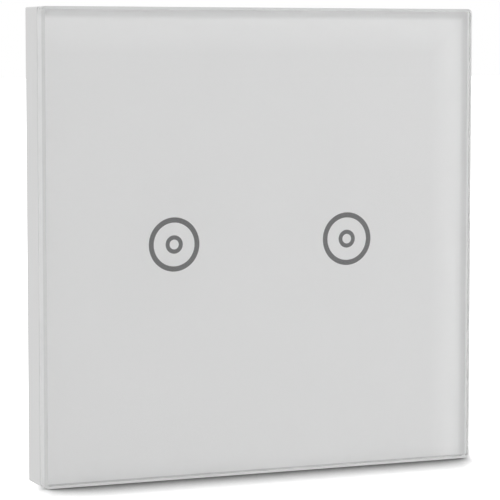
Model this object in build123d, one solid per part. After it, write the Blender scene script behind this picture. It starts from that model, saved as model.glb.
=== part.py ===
from build123d import *
import os
from math import copysign, cos, pi, sin, sqrt

# A two-gang touch light switch for a wall box, with a square glass front.
# Lengths are in millimetres. +X is to the right seen from the front, +Y goes into the wall, +Z is up.
# The origin lies on the wall plane, midway between the two fixing slots.

# Glass front
plate_size = 86.0
plate_corner_radius = 0.9
glass_thickness = 3.0
glass_arris = 0.35
print_thickness = 0.1
print_margin = 0.2
tape_thickness = 0.3

# Touch marks
mark_centre_x = 17.4
mark_outer_radius = 4.95
mark_outer_stroke = 0.95
mark_inner_radius = 1.68
mark_inner_stroke = 0.78

# Carrier of the glass
wall_gap = 0.3
carrier_inset = 0.05
carrier_corner_radius = 0.35
skirt_depth = 6.6
skirt_wall = 1.8
skirt_lip = 1.2
skirt_rim_chamfer = 0.2
web_thickness = 1.4
guide_hole_clearance = 0.4
notch_width = 12.0
notch_height = 1.3
rib_thickness = 1.0
rib_height = 0.9
rib_reach_z = 36.0

# Snap hooks of the carrier
hook_width = 10.0
hook_thickness = 1.2
hook_barb = 0.6
hook_barb_depth = 0.9
hook_end_gap = 0.4
hook_clearance = 0.3
hook_z = 24.0

# Mounting frame
flange_gap = 1.05
flange_corner_radius = 3.0
flange_thickness = 3.0
flange_skin = 1.6
flange_rim = 1.4
pad_clearance = 0.4
pad_wall = 1.6
pad_corner_radius = 3.0
pad_margin_z = 1.0
slot_pitch = 60.3
slot_width = 4.2
slot_length = 7.6
slot_recess_margin = 2.0
slot_recess_depth = 0.9
slot_boss_margin = 2.0
stiffening_rib = 1.2
housing_seat_depth = 0.6
housing_seat_clearance = 0.1

# Rear housing
housing_width = 51.0
housing_height = 58.0
housing_depth = 30.0
housing_wall = 1.8
housing_corner_radius = 2.5
housing_edge_chamfer = 0.8
vent_width = 1.4
vent_length = 9.0
vent_pitch = 4.0
vent_count = 7
grip_rib_height = 0.6
grip_rib_width = 1.2
rail_width = 1.8
rail_bottom_z = -11.0
rail_top_z = 17.0

# Screws that close the housing
closing_boss_radius = 3.8
closing_boss_inset = 3.2
closing_screw_radius = 1.45
closing_head_radius = 2.7
closing_head_height = 1.9
closing_hole_clearance = 0.15
closing_head_clearance = 0.3
closing_seat_y = 5.0
closing_bite = 3.4
recess_arm_share = 0.62
recess_width_share = 0.24
recess_depth_share = 0.55

# Touch board
board_edge_gap = 0.3
touch_board_thickness = 1.2
touch_board_setback = 0.4
standoff_radius = 2.2
standoff_z = 22.0
board_screw_radius = 0.95
board_head_radius = 1.8
board_head_height = 1.2
board_screw_bite = 2.4
controller_size_x = 10.0
controller_size_z = 6.2
controller_height = 1.6
controller_z = -11.0

# Light guides and lamps
guide_outer_radius = 5.3
guide_wall = 1.2
guide_flange = 0.7
guide_flange_thickness = 0.8
guide_print_gap = 0.3
guide_fit = 0.1
guide_board_gap = 0.5
lamp_size_x = 3.0
lamp_size_z = 2.6
lamp_height = 0.8
lamp_dome_radius = 1.0
lamp_dome_height = 0.3

# Touch springs
spring_mean_radius = 3.2
spring_wire_radius = 0.3
spring_turns = 3
spring_print_gap = 0.3
spring_foot_bend = 0.8
spring_foot_rise = 0.5

# Power board
power_board_thickness = 1.6
rear_part_space = 6.4
power_board_block_gap = 0.4
lead_radius = 0.35
lead_length = 1.4

# Pins between the boards
pin_pitch = 2.54
pin_side = 0.64
pin_count = 5
pin_row_z = 9.0
pin_front_length = 0.6
header_height = 2.5
socket_height = 8.5
pin_engagement = 3.0
pin_hole_clearance = 0.08

# Terminals
terminal_count = 4
terminal_pitch = 8.0
terminal_screw_radius = 1.75
terminal_head_radius = 2.8
terminal_head_height = 2.0
terminal_head_gap = 0.2
terminal_tip_gap = 0.1
thread_clearance = 0.05
driver_hole_radius = 2.3
driver_slot_width = 0.9
driver_slot_depth = 1.1
cage_width = 6.4
cage_length = 6.6
cage_wall = 1.0
cage_top_wall = 2.2
cage_clearance = 0.25
cage_bar_gap = 0.3
wire_space = 4.2
wire_window_width = 4.8
wire_window_margin = 0.2
block_wall = 1.3
block_entry_depth = 3.1
block_end_wall = 1.2
bar_thickness = 1.0
bar_width = 3.8
bar_end_setback = 1.2
bar_tail_length = 3.6

# Relays
relay_centre_x = 12.0
relay_centre_z = 9.0
relay_length = 19.0
relay_width = 15.4
relay_height = 15.3
relay_wall = 0.7
relay_base_thickness = 1.3
relay_fit = 0.1
yoke_thickness = 1.1
yoke_width = 9.0
yoke_back_gap = 0.3
yoke_height = 11.2
core_radius = 2.0
core_offset = 5.4
pole_radius = 3.2
pole_thickness = 0.8
bobbin_wall = 0.6
bobbin_flange_thickness = 0.8
bobbin_flange_radius = 5.2
coil_margin = 0.3
armature_thickness = 1.1
armature_width = 8.0
armature_overhang = 3.4
armature_gap = 0.1
armature_swing_degrees = 4.0
leaf_thickness = 0.3
leaf_width = 4.0
contact_radius = 1.1
contact_inset = 2.0
contact_height = 1.0
contact_gap = 0.1
rivet_height = 0.3
contact_post_width = 3.0
contact_post_thickness = 0.6
pin_tail_length = 3.4
relay_pin_radius = 0.5
coil_pin_spread = 5.0

# Supply parts on the power board
part_row_z = -6.5
supply_capacitor_radius = 4.0
supply_capacitor_height = 12.0
supply_capacitor_x = -1.0
filter_capacitor_radius = 3.0
filter_capacitor_height = 11.0
filter_capacitor_x = 19.6
capacitor_rim = 0.5
film_capacitor_size_x = 12.0
film_capacitor_size_z = 5.0
film_capacitor_height = 10.0
film_capacitor_x = -14.0
film_capacitor_drop = 2.0
varistor_radius = 4.2
varistor_thickness = 3.4
varistor_lift = 4.0
transformer_size_x = 10.0
transformer_size_z = 9.0
transformer_height = 9.0
transformer_x = 9.6
transformer_limb = 2.0
winding_margin = 0.2
winding_bulge = 1.0
fuse_size_x = 8.5
fuse_size_z = 4.0
fuse_height = 8.0
fuse_z = 22.4
part_edge_radius = 0.5
rectifier_size_x = 6.5
rectifier_size_z = 5.2
rectifier_height = 2.3
rectifier_x = 0.0
rectifier_z = 14.0
supply_chip_size_x = 5.0
supply_chip_size_z = 4.0
supply_chip_height = 1.6
supply_chip_x = 8.0
driver_size_x = 2.9
driver_size_z = 1.6
driver_height = 1.1
driver_row_z = 21.4

# One overrun serves every cut that passes out through a face.
overrun = 1.0

# Planes square to Y, from the front to the back
rim_y = -wall_gap
print_back_y = rim_y - skirt_depth
glass_back_y = print_back_y - print_thickness
glass_front_y = glass_back_y - glass_thickness
web_front_y = print_back_y + tape_thickness
web_back_y = web_front_y + web_thickness
pad_front_y = web_back_y + pad_clearance
pad_inner_y = pad_front_y + pad_wall
flange_front_y = -flange_thickness
flange_skin_y = flange_front_y + flange_skin
touch_board_back_y = -touch_board_setback
touch_board_front_y = touch_board_back_y - touch_board_thickness
housing_front_y = -housing_seat_depth
housing_inner_y = housing_depth - housing_wall
power_board_back_y = housing_inner_y - rear_part_space
power_board_front_y = power_board_back_y - power_board_thickness
bar_front_y = power_board_front_y - bar_thickness

# Half sizes and centres that several pieces share
carrier_size = plate_size - 2 * carrier_inset
skirt_inner_half = carrier_size / 2 - skirt_wall
flange_half = skirt_inner_half - flange_gap
inner_half_x = housing_width / 2 - housing_wall
inner_half_z = housing_height / 2 - housing_wall
closing_x = inner_half_x - closing_boss_inset
closing_z = inner_half_z - closing_boss_inset
hook_outer_x = flange_half - flange_rim - hook_clearance
hook_inner_x = hook_outer_x - hook_thickness
mark_centres = {"left": -mark_centre_x, "right": mark_centre_x}
relay_centres = {"left": -relay_centre_x, "right": relay_centre_x}
corner_sites = [(x, z) for x in (-closing_x, closing_x) for z in (-closing_z, closing_z)]

# Terminal block and cage stations
cage_floor_top_y = bar_front_y - wire_space
cage_floor_y = cage_floor_top_y - cage_wall
cage_roof_y = power_board_front_y + cage_bar_gap
cage_back_y = cage_roof_y + cage_top_wall
cage_room_y = cage_floor_y - cage_clearance
block_front_y = cage_room_y - block_wall
block_bottom_z = -inner_half_z
cage_room_bottom_z = block_bottom_z + block_entry_depth
cage_room_top_z = cage_room_bottom_z + cage_length + 2 * cage_clearance
cage_centre_z = (cage_room_bottom_z + cage_room_top_z) / 2
block_top_z = cage_room_top_z + block_end_wall
block_half_x = terminal_count * terminal_pitch / 2
terminal_middle = (terminal_count - 1) / 2
terminal_xs = [(number - terminal_middle) * terminal_pitch for number in range(terminal_count)]
terminal_head_y = housing_inner_y - terminal_head_gap - terminal_head_height
power_board_bottom_z = block_top_z + power_board_block_gap


# Plain forms
def block(x_low, x_high, y_low, y_high, z_low, z_high):
    """A rectangular block between three pairs of planes."""
    middle = Pos((x_low + x_high) / 2, (y_low + y_high) / 2, (z_low + z_high) / 2)
    return middle * Box(x_high - x_low, y_high - y_low, z_high - z_low)


def between(outline, y_low, y_high, x=0, z=0):
    """A flat outline of X and Z with its thickness from y_low to y_high."""
    return Pos(x, y_high, z) * Rot(90, 0, 0) * extrude(outline, y_high - y_low)


def rod(radius, y_low, y_high, x=0, z=0):
    """A round bar along Y."""
    return between(Circle(radius), y_low, y_high, x, z)


def tube(outer_radius, inner_radius, y_low, y_high, x=0, z=0):
    """A round tube along Y."""
    return between(Circle(outer_radius) - Circle(inner_radius), y_low, y_high, x, z)


def chip(size_x, size_z, y_low, y_high, x, z):
    """A small rectangular part that stands on a board."""
    return block(x - size_x / 2, x + size_x / 2, y_low, y_high, z - size_z / 2, z + size_z / 2)


def mirrored(solid):
    """A solid with its mirror image across the middle plane."""
    return solid + mirror(solid, Plane.YZ)


def group(solids):
    """Separate solids that share one node."""
    return Compound([solid for piece in solids for solid in piece.solids()])


# Glass front
def glass_panel():
    """The tempered plate, with a ground arris round its front and back."""
    outline = RectangleRounded(plate_size, plate_size, plate_corner_radius)
    plate = between(outline, glass_front_y, glass_back_y)
    front = plate.faces().sort_by(Axis.Y)[0]
    back = plate.faces().sort_by(Axis.Y)[-1]
    return chamfer(front.edges() + back.edges(), glass_arris)


def mark_outline():
    """The two rings of one touch mark."""
    outer = Circle(mark_outer_radius) - Circle(mark_outer_radius - mark_outer_stroke)
    inner = Circle(mark_inner_radius) - Circle(mark_inner_radius - mark_inner_stroke)
    return outer + inner


def touch_mark(side):
    """One translucent touch mark that fills its windows in the print."""
    return between(mark_outline(), glass_back_y, print_back_y, mark_centres[side])


def panel_print():
    """The enamel layer behind the glass, with the windows of both marks."""
    side = plate_size - 2 * print_margin
    layer = between(RectangleRounded(side, side, plate_corner_radius), glass_back_y, print_back_y)
    for centre in mark_centres.values():
        layer -= between(mark_outline(), glass_back_y - overrun, print_back_y + overrun, centre)
    return layer


def guide_holes(y_low, y_high):
    """The clearance holes round both light guides."""
    radius = guide_outer_radius + guide_hole_clearance
    return [rod(radius, y_low, y_high, centre) for centre in mark_centres.values()]


def bonding_tape():
    """The tape that fills the recess between the carrier's lips."""
    side = carrier_size - 2 * skirt_lip
    tape = between(Rectangle(side, side), print_back_y, web_front_y)
    return tape - guide_holes(print_back_y - overrun, web_front_y + overrun)


def hook_pair(sign):
    """Two hooks on one side: a tongue with a ramped barb on its inner face."""
    tip_y = -hook_end_gap
    barb_y = tip_y - hook_barb_depth
    barb_x = hook_inner_x - hook_barb
    outline = [
        (hook_outer_x, web_back_y),
        (hook_outer_x, tip_y),
        (hook_inner_x, tip_y),
        (barb_x, barb_y),
        (hook_inner_x, barb_y),
        (hook_inner_x, web_back_y),
    ]
    profile = make_face(Polyline([(sign * x, y) for x, y in outline], close=True))
    tongue = extrude(profile, hook_width / 2, both=True)
    return [Pos(0, 0, height) * tongue for height in (-hook_z, hook_z)]


def carrier_ribs():
    """Ribs on the web's back that stop it from bowing, clear of the frame's pad."""
    rib_x = (housing_width / 2 + hook_inner_x) / 2
    ribs = []
    for sign in (-1, 1):
        low_x = sign * rib_x - rib_thickness / 2
        high_x = sign * rib_x + rib_thickness / 2
        for low_z, high_z in ((-rib_reach_z, -hook_z), (hook_z, rib_reach_z)):
            ribs.append(block(low_x, high_x, web_back_y, web_back_y + rib_height, low_z, high_z))
    return ribs


def panel_frame():
    """The moulded carrier: side walls, web, lips, hooks, ribs and the pry notch."""
    outline = RectangleRounded(carrier_size, carrier_size, carrier_corner_radius)
    body = between(outline, print_back_y, rim_y)
    rim = body.faces().sort_by(Axis.Y)[-1]
    body = chamfer(rim.edges(), skirt_rim_chamfer)
    lip_side = carrier_size - 2 * skirt_lip
    body -= between(Rectangle(lip_side, lip_side), print_back_y - overrun, web_front_y)
    hollow = between(Rectangle(2 * skirt_inner_half, 2 * skirt_inner_half), web_back_y, rim_y + overrun)
    body -= hollow
    body -= guide_holes(web_front_y - overrun, web_back_y + overrun)
    body += hook_pair(-1) + hook_pair(1)
    body += carrier_ribs()
    notch_low_z = -carrier_size / 2 - overrun
    notch_high_z = -skirt_inner_half + overrun
    notch_y = rim_y - notch_height
    body -= block(-notch_width / 2, notch_width / 2, notch_y, rim_y + overrun, notch_low_z, notch_high_z)
    return body


# Mounting frame
def slot_outlines(margin):
    """The outlines of both fixing slots, widened by a margin."""
    length = slot_length + 2 * margin
    width = slot_width + 2 * margin
    return [Pos(sign * slot_pitch / 2, 0) * SlotOverall(length, width) for sign in (-1, 1)]


def flange_pockets():
    """The hollows in the flange's back, between its rim, bosses and ribs."""
    inner_side = 2 * (flange_half - flange_rim)
    pockets = Rectangle(inner_side, inner_side) - Rectangle(housing_width, housing_height)
    for outline in slot_outlines(slot_boss_margin):
        pockets -= outline
    for height in (-hook_z + hook_width, hook_z - hook_width):
        pockets -= Pos(0, height) * Rectangle(inner_side, stiffening_rib)
    for offset in (-housing_width / 4, housing_width / 4):
        pockets -= Pos(offset, 0) * Rectangle(stiffening_rib, inner_side)
    return pockets


def hook_windows():
    """The windows that the carrier's hooks pass through, with room for the barb."""
    low_x = hook_inner_x - hook_barb - hook_clearance
    high_x = hook_outer_x + hook_clearance
    half = hook_width / 2 + hook_clearance
    windows = []
    for height in (-hook_z, hook_z):
        low_z = height - half
        high_z = height + half
        windows.append(mirrored(block(low_x, high_x, flange_front_y - overrun, overrun, low_z, high_z)))
    return windows


def mounting_frame():
    """The moulded frame that the fixing screws hold, with the pad over the touch board."""
    flange = RectangleRounded(2 * flange_half, 2 * flange_half, flange_corner_radius)
    frame = between(flange, flange_front_y, 0)
    pad_height = housing_height + 2 * pad_margin_z
    pad = RectangleRounded(housing_width, pad_height, pad_corner_radius)
    frame += between(pad, pad_front_y, flange_front_y)
    frame -= between(Rectangle(2 * inner_half_x, 2 * inner_half_z), pad_inner_y, overrun)
    frame -= between(flange_pockets(), flange_skin_y, overrun)
    seat_x = housing_width + 2 * housing_seat_clearance
    seat_z = housing_height + 2 * housing_seat_clearance
    frame -= between(Rectangle(seat_x, seat_z), housing_front_y, overrun)
    frame += [rod(closing_boss_radius, pad_inner_y, housing_front_y, x, z) for x, z in corner_sites]
    for height in (-standoff_z, standoff_z):
        frame += rod(standoff_radius, pad_inner_y, touch_board_front_y, 0, height)
        bite_y = touch_board_front_y - board_screw_bite
        frame -= rod(board_screw_radius, bite_y, touch_board_front_y + overrun, 0, height)
    for x, z in corner_sites:
        frame -= rod(closing_screw_radius, -closing_bite, overrun, x, z)
    for centre in mark_centres.values():
        frame -= rod(guide_outer_radius + guide_fit, pad_front_y - overrun, pad_inner_y + overrun, centre)
    for outline in slot_outlines(0):
        frame -= between(outline, flange_front_y - overrun, overrun)
    for outline in slot_outlines(slot_recess_margin):
        recess = between(outline, flange_front_y - overrun, flange_front_y + slot_recess_depth)
        inside_pad = between(pad, pad_front_y - overrun, flange_front_y + slot_recess_depth)
        frame -= recess - inside_pad
    frame -= hook_windows()
    return frame


# Rear housing
def closing_columns():
    """The four corner columns that the closing screws run in."""
    return [rod(closing_boss_radius, housing_front_y, housing_depth, x, z) for x, z in corner_sites]


def closing_bores():
    """The screw holes and the deep bores for their heads."""
    bores = []
    for x, z in corner_sites:
        screw_bore = closing_screw_radius + closing_hole_clearance
        bores.append(rod(screw_bore, housing_front_y - overrun, closing_seat_y + overrun, x, z))
        head_bore = closing_head_radius + closing_head_clearance
        bores.append(rod(head_bore, closing_seat_y, housing_depth + overrun, x, z))
    return bores


def vent_slots():
    """Rows of vents through the top wall and both side walls."""
    slots = []
    middle = (vent_count - 1) / 2
    low_y = (housing_inner_y - vent_length) / 2
    high_y = low_y + vent_length
    for number in range(vent_count):
        place = (number - middle) * vent_pitch
        low = place - vent_width / 2
        high = place + vent_width / 2
        slots.append(block(low, high, low_y, high_y, inner_half_z - overrun, housing_height / 2 + overrun))
        side = block(inner_half_x - overrun, housing_width / 2 + overrun, low_y, high_y, low, high)
        slots.append(mirrored(side))
    return slots


def wire_windows(z_low, z_high):
    """The four wire entries, as wide as the funnels in the terminal block."""
    windows = []
    for centre in terminal_xs:
        low_x = centre - wire_window_width / 2
        high_x = centre + wire_window_width / 2
        low_y = cage_floor_top_y - wire_window_margin
        high_y = bar_front_y + wire_window_margin
        windows.append(block(low_x, high_x, low_y, high_y, z_low, z_high))
    return windows


def grip_ribs():
    """Low ribs outside the housing's side walls, either side of the vents."""
    ribs = []
    reach = (vent_count - 1) / 2 * vent_pitch + vent_pitch
    for height in (-reach, reach):
        low_z = height - grip_rib_width / 2
        high_z = height + grip_rib_width / 2
        half = housing_width / 2
        end_y = housing_depth - housing_corner_radius
        rib = block(half - housing_wall / 2, half + grip_rib_height, 0, end_y, low_z, high_z)
        ribs.append(mirrored(rib))
    return ribs


def rear_housing():
    """The deep box with its corner columns, board rails, vents and wire entries."""
    outline = RectangleRounded(housing_width, housing_height, housing_corner_radius)
    body = between(outline, housing_front_y, housing_depth)
    back = body.faces().sort_by(Axis.Y)[-1]
    body = chamfer(back.edges(), housing_edge_chamfer)
    outer = body
    hollow_y = (housing_front_y - overrun, housing_inner_y)
    body -= block(-inner_half_x, inner_half_x, *hollow_y, -inner_half_z, inner_half_z)
    columns = [column & outer for column in closing_columns()]
    body += columns
    rail_inner_x = inner_half_x - rail_width
    rail = block(rail_inner_x, inner_half_x, power_board_back_y, housing_inner_y, rail_bottom_z, rail_top_z)
    body += mirrored(rail)
    body += grip_ribs()
    body -= closing_bores()
    body -= vent_slots()
    body -= wire_windows(-housing_height / 2 - overrun, block_bottom_z + overrun)
    for centre in terminal_xs:
        back_y = housing_depth + overrun
        body -= rod(driver_hole_radius, housing_inner_y - overrun, back_y, centre, cage_centre_z)
    return body


# Screws
def cross_recess(head_radius, head_height, head_y, x, z):
    """The cross in a screw head whose open face is at head_y, facing +Y."""
    arm = head_radius * recess_arm_share
    half = head_radius * recess_width_share
    low_y = head_y - head_height * recess_depth_share
    high_y = head_y + overrun
    first = block(x - arm, x + arm, low_y, high_y, z - half, z + half)
    second = block(x - half, x + half, low_y, high_y, z - arm, z + arm)
    return first + second


def headed_screw(shank_radius, head_radius, head_height, tip_y, seat_y, x, z):
    """A screw along Y with its head behind seat_y."""
    head = rod(head_radius, seat_y, seat_y + head_height, x, z)
    outer_edge = head.edges().sort_by(Axis.Y)[-1]
    head = fillet(outer_edge, head_height / 4)
    screw = head + rod(shank_radius, tip_y, seat_y, x, z)
    return screw - cross_recess(head_radius, head_height, seat_y + head_height, x, z)


def housing_screws():
    """The four screws that close the housing."""
    screws = []
    for x, z in corner_sites:
        sizes = (closing_screw_radius, closing_head_radius, closing_head_height)
        screws.append(headed_screw(*sizes, -closing_bite, closing_seat_y, x, z))
    return group(screws)


def board_screws():
    """The two screws that hold the touch board on its standoffs."""
    screws = []
    tip_y = touch_board_front_y - board_screw_bite
    for height in (-standoff_z, standoff_z):
        sizes = (board_screw_radius, board_head_radius, board_head_height)
        screws.append(headed_screw(*sizes, tip_y, touch_board_back_y, 0, height))
    return group(screws)


# Touch board and what it carries
def pin_places():
    """The heights of the pins in the row between the boards."""
    middle = (pin_count - 1) / 2
    return [pin_row_z + (number - middle) * pin_pitch for number in range(pin_count)]


def pin_row(side, y_low, y_high):
    """Square pins, or their holes, along Y."""
    return [chip(side, side, y_low, y_high, 0, height) for height in pin_places()]


def corner_notches(sites, low_y, high_y):
    """Square cuts that keep a board clear of the corner columns."""
    reach = closing_boss_radius + board_edge_gap
    notches = []
    for x, z in sites:
        across = sorted((x - copysign(reach, x), 2 * x))
        along = sorted((z - copysign(reach, z), 2 * z))
        notches.append(block(*across, low_y, high_y, *along))
    return notches


def touch_board():
    """The sensing board inside the frame's pad, notched for the corner pillars."""
    half_x = inner_half_x - board_edge_gap
    half_z = inner_half_z - board_edge_gap
    board = block(-half_x, half_x, touch_board_front_y, touch_board_back_y, -half_z, half_z)
    low_y = touch_board_front_y - overrun
    high_y = touch_board_back_y + overrun
    board -= corner_notches(corner_sites, low_y, high_y)
    for height in (-standoff_z, standoff_z):
        board -= rod(board_screw_radius + closing_hole_clearance, low_y, high_y, 0, height)
    board -= pin_row(pin_side, low_y, high_y)
    for centre in mark_centres.values():
        foot_x = centre + spring_mean_radius
        board -= rod(spring_wire_radius, low_y, high_y, foot_x, -spring_foot_bend)
    return board


def light_guide(side):
    """A clear tube behind one mark, with a flange under the frame's pad."""
    centre = mark_centres[side]
    bore = guide_outer_radius - guide_wall
    front_y = print_back_y + guide_print_gap
    back_y = touch_board_front_y - guide_board_gap
    guide = tube(guide_outer_radius, bore, front_y, back_y, centre)
    flange_y = pad_inner_y + guide_flange_thickness
    guide += tube(guide_outer_radius + guide_flange, bore, pad_inner_y, flange_y, centre)
    return guide


def status_led(side):
    """A small lamp with a round lens, in the middle of the spring."""
    centre = mark_centres[side]
    top_y = touch_board_front_y - lamp_height
    body = chip(lamp_size_x, lamp_size_z, top_y, touch_board_front_y, centre, 0)
    return body + rod(lamp_dome_radius, top_y - lamp_dome_height, top_y, centre)


def biarc(start, leave, end, arrive):
    """Two arcs that leave start along one direction and reach end along another."""
    span = end - start
    turn = 2 * (1 - leave.dot(arrive))
    along = span.dot(leave + arrive)
    reach = (sqrt(along * along + turn * span.dot(span)) - along) / turn
    first_corner = start + leave * reach
    second_corner = end - arrive * reach
    joint = (first_corner + second_corner) / 2
    joint_way = (second_corner - first_corner).normalized()
    return [Edge.make_tangent_arc(start, leave, joint), Edge.make_tangent_arc(joint, joint_way, end)]


def spring_path(centre):
    """A straight foot through the board, one bend, then quarter turns of a helix."""
    top_y = print_back_y + spring_print_gap + spring_wire_radius
    base_y = touch_board_front_y - spring_wire_radius - spring_foot_rise
    pitch = (base_y - top_y) / spring_turns
    slope = pitch / (2 * pi)
    places = []
    ways = []
    for quarter in range(4 * spring_turns + 1):
        angle = quarter * pi / 2
        x = centre + spring_mean_radius * cos(angle)
        z = spring_mean_radius * sin(angle)
        places.append(Vector(x, base_y - slope * angle, z))
        way = Vector(-spring_mean_radius * sin(angle), -slope, spring_mean_radius * cos(angle))
        ways.append(way.normalized())
    foot_x = centre + spring_mean_radius
    foot = Vector(foot_x, touch_board_back_y, -spring_foot_bend)
    bend = Vector(foot_x, base_y + spring_foot_bend, -spring_foot_bend)
    up = Vector(0, -1, 0)
    edges = [Edge.make_line(foot, bend)]
    edges += biarc(bend, up, places[0], ways[0])
    for quarter in range(4 * spring_turns):
        nearer = (places[quarter], ways[quarter])
        further = (places[quarter + 1], ways[quarter + 1])
        edges += biarc(*nearer, *further)
    return edges, foot, up


def least_gap(edges):
    """The least clear distance between stretches of the wire more than half a turn apart."""
    samples = []
    run = 0
    for edge in edges:
        for share in (0, 0.25, 0.5, 0.75):
            samples.append((run + share * edge.length, edge @ share))
        run += edge.length
    half_turn = pi * spring_mean_radius
    gaps = []
    for place, (run_a, point_a) in enumerate(samples):
        for run_b, point_b in samples[place:]:
            if run_b - run_a > half_turn:
                gaps.append((point_b - point_a).length - 2 * spring_wire_radius)
    return min(gaps)


def touch_spring(side):
    """A coil spring soldered to the board, one unbroken wire."""
    edges, foot, up = spring_path(mark_centres[side])
    print(f"touch_spring_{side}: least gap of the wire to itself {least_gap(edges):.3f} mm")
    section = Plane(origin=foot, z_dir=up) * Circle(spring_wire_radius)
    return sweep(section, path=Wire(edges))


def touch_controller():
    """The sensing chip on the back of the touch board."""
    back_y = touch_board_back_y + controller_height
    return chip(controller_size_x, controller_size_z, touch_board_back_y, back_y, 0, controller_z)


def board_header():
    """The long pins between the boards, in a moulded strip on the touch board."""
    back_y = power_board_front_y - socket_height + pin_engagement
    length = pin_count * pin_pitch
    strip = chip(pin_pitch, length, touch_board_back_y, touch_board_back_y + header_height, 0, pin_row_z)
    return strip + pin_row(pin_side, touch_board_front_y - pin_front_length, back_y)


def board_socket():
    """The tall socket on the power board that takes the pins."""
    front_y = power_board_front_y - socket_height
    body = chip(pin_pitch, pin_count * pin_pitch, front_y, power_board_front_y, 0, pin_row_z)
    hole = pin_side + 2 * pin_hole_clearance
    return body - pin_row(hole, front_y - overrun, front_y + pin_engagement + overrun)


# Power board and its supply parts
def lead_sites():
    """The places of the wire leads that go through the power board."""
    reach = supply_capacitor_radius / 2
    low_z = part_row_z - film_capacitor_drop
    sites = [(supply_capacitor_x - reach, part_row_z), (supply_capacitor_x + reach, part_row_z)]
    sites += [(film_capacitor_x + sign * film_capacitor_size_x / 3, low_z) for sign in (-1, 1)]
    sites += [(sign * fuse_size_x / 4, fuse_z) for sign in (-1, 1)]
    return sites


def leads_near(x_low, x_high, z_low, z_high):
    """The leads whose places lie inside a rectangle."""
    back_y = power_board_back_y + lead_length
    near = [(x, z) for x, z in lead_sites() if x_low < x < x_high and z_low < z < z_high]
    return [rod(lead_radius, power_board_front_y, back_y, x, z) for x, z in near]


def power_board():
    """The supply board, notched for the corner columns and drilled for leads and pins."""
    half_x = inner_half_x - board_edge_gap
    top_z = inner_half_z - board_edge_gap
    board = block(-half_x, half_x, power_board_front_y, power_board_back_y, power_board_bottom_z, top_z)
    low_y = power_board_front_y - overrun
    high_y = power_board_back_y + overrun
    upper_sites = [(x, z) for x, z in corner_sites if z > 0]
    board -= corner_notches(upper_sites, low_y, high_y)
    for x, z in lead_sites():
        board -= rod(lead_radius, low_y, high_y, x, z)
    for side in relay_centres:
        board -= [relay_place(side) * pin for pin in relay_pins()]
    return board


def standing_can(radius, height, x, z):
    """An electrolytic can on the board, with its crimped rim rounded."""
    can = rod(radius, power_board_front_y - height, power_board_front_y, x, z)
    front = can.edges().sort_by(Axis.Y)[0]
    return fillet(front, capacitor_rim)


def supply_capacitor():
    """The large electrolytic can and its leads."""
    can = standing_can(supply_capacitor_radius, supply_capacitor_height, supply_capacitor_x, part_row_z)
    near = supply_capacitor_radius
    low_x = supply_capacitor_x - near
    return can + leads_near(low_x, low_x + 2 * near, part_row_z - near, part_row_z + near)


def filter_capacitor():
    """The small electrolytic can."""
    sizes = (filter_capacitor_radius, filter_capacitor_height)
    return standing_can(*sizes, filter_capacitor_x, part_row_z)


def boxed_part(size_x, size_z, height, x, z):
    """A moulded rectangular part on the board, with rounded upright edges, and its leads."""
    outline = RectangleRounded(size_x, size_z, part_edge_radius)
    part = between(outline, power_board_front_y - height, power_board_front_y, x, z)
    return part + leads_near(x - size_x / 2, x + size_x / 2, z - size_z / 2, z + size_z / 2)


def film_capacitor():
    """The boxed film capacitor."""
    sizes = (film_capacitor_size_x, film_capacitor_size_z, film_capacitor_height)
    return boxed_part(*sizes, film_capacitor_x, part_row_z - film_capacitor_drop)


def fuse():
    """The boxed fuse above the relays."""
    return boxed_part(fuse_size_x, fuse_size_z, fuse_height, 0, fuse_z)


def surge_varistor():
    """A disc on edge, flat where it meets the board."""
    centre_z = part_row_z + varistor_lift
    disc = Cylinder(varistor_radius, varistor_thickness)
    centre_y = power_board_front_y - varistor_radius + part_edge_radius
    disc = Pos(film_capacitor_x, centre_y, centre_z) * disc
    far = 2 * varistor_radius
    x = film_capacitor_x
    low_z = centre_z - varistor_thickness
    high_z = centre_z + varistor_thickness
    return disc - block(x - far, x + far, power_board_front_y, power_board_front_y + far, low_z, high_z)


def transformer_core():
    """A ferrite frame with a middle limb."""
    front_y = power_board_front_y - transformer_height
    sizes = (transformer_size_x, transformer_size_z)
    core = chip(*sizes, front_y, power_board_front_y, transformer_x, part_row_z)
    room = (transformer_size_x - 3 * transformer_limb) / 2
    low_y = front_y + transformer_limb
    high_y = power_board_front_y - transformer_limb
    for sign in (-1, 1):
        x = transformer_x + sign * (transformer_limb / 2 + room / 2)
        core -= chip(room, transformer_size_z + overrun, low_y, high_y, x, part_row_z)
    return core


def transformer_winding():
    """The wound block round the core's middle limb, proud of the core on both sides."""
    front_y = power_board_front_y - transformer_height
    low_y = front_y + transformer_limb + winding_margin
    high_y = power_board_front_y - transformer_limb
    room = (transformer_size_x - 3 * transformer_limb) / 2
    size_x = transformer_limb + 2 * (room - winding_margin)
    size_z = transformer_size_z + 2 * winding_bulge
    winding = chip(size_x, size_z, low_y, high_y, transformer_x, part_row_z)
    limb_y = (low_y - overrun, high_y + overrun)
    return winding - chip(transformer_limb, transformer_size_z, *limb_y, transformer_x, part_row_z)


def back_part(size_x, size_z, height, x, z):
    """A flat part soldered on the back of the power board."""
    return chip(size_x, size_z, power_board_back_y, power_board_back_y + height, x, z)


def bridge_rectifier():
    """The rectifier on the board's back."""
    return back_part(rectifier_size_x, rectifier_size_z, rectifier_height, rectifier_x, rectifier_z)


def supply_controller():
    """The supply chip on the board's back."""
    return back_part(supply_chip_size_x, supply_chip_size_z, supply_chip_height, supply_chip_x, part_row_z)


def relay_drivers():
    """The two transistors that switch the relay coils."""
    drivers = []
    for centre in relay_centres.values():
        drivers.append(back_part(driver_size_x, driver_size_z, driver_height, centre, driver_row_z))
    return group(drivers)


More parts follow.
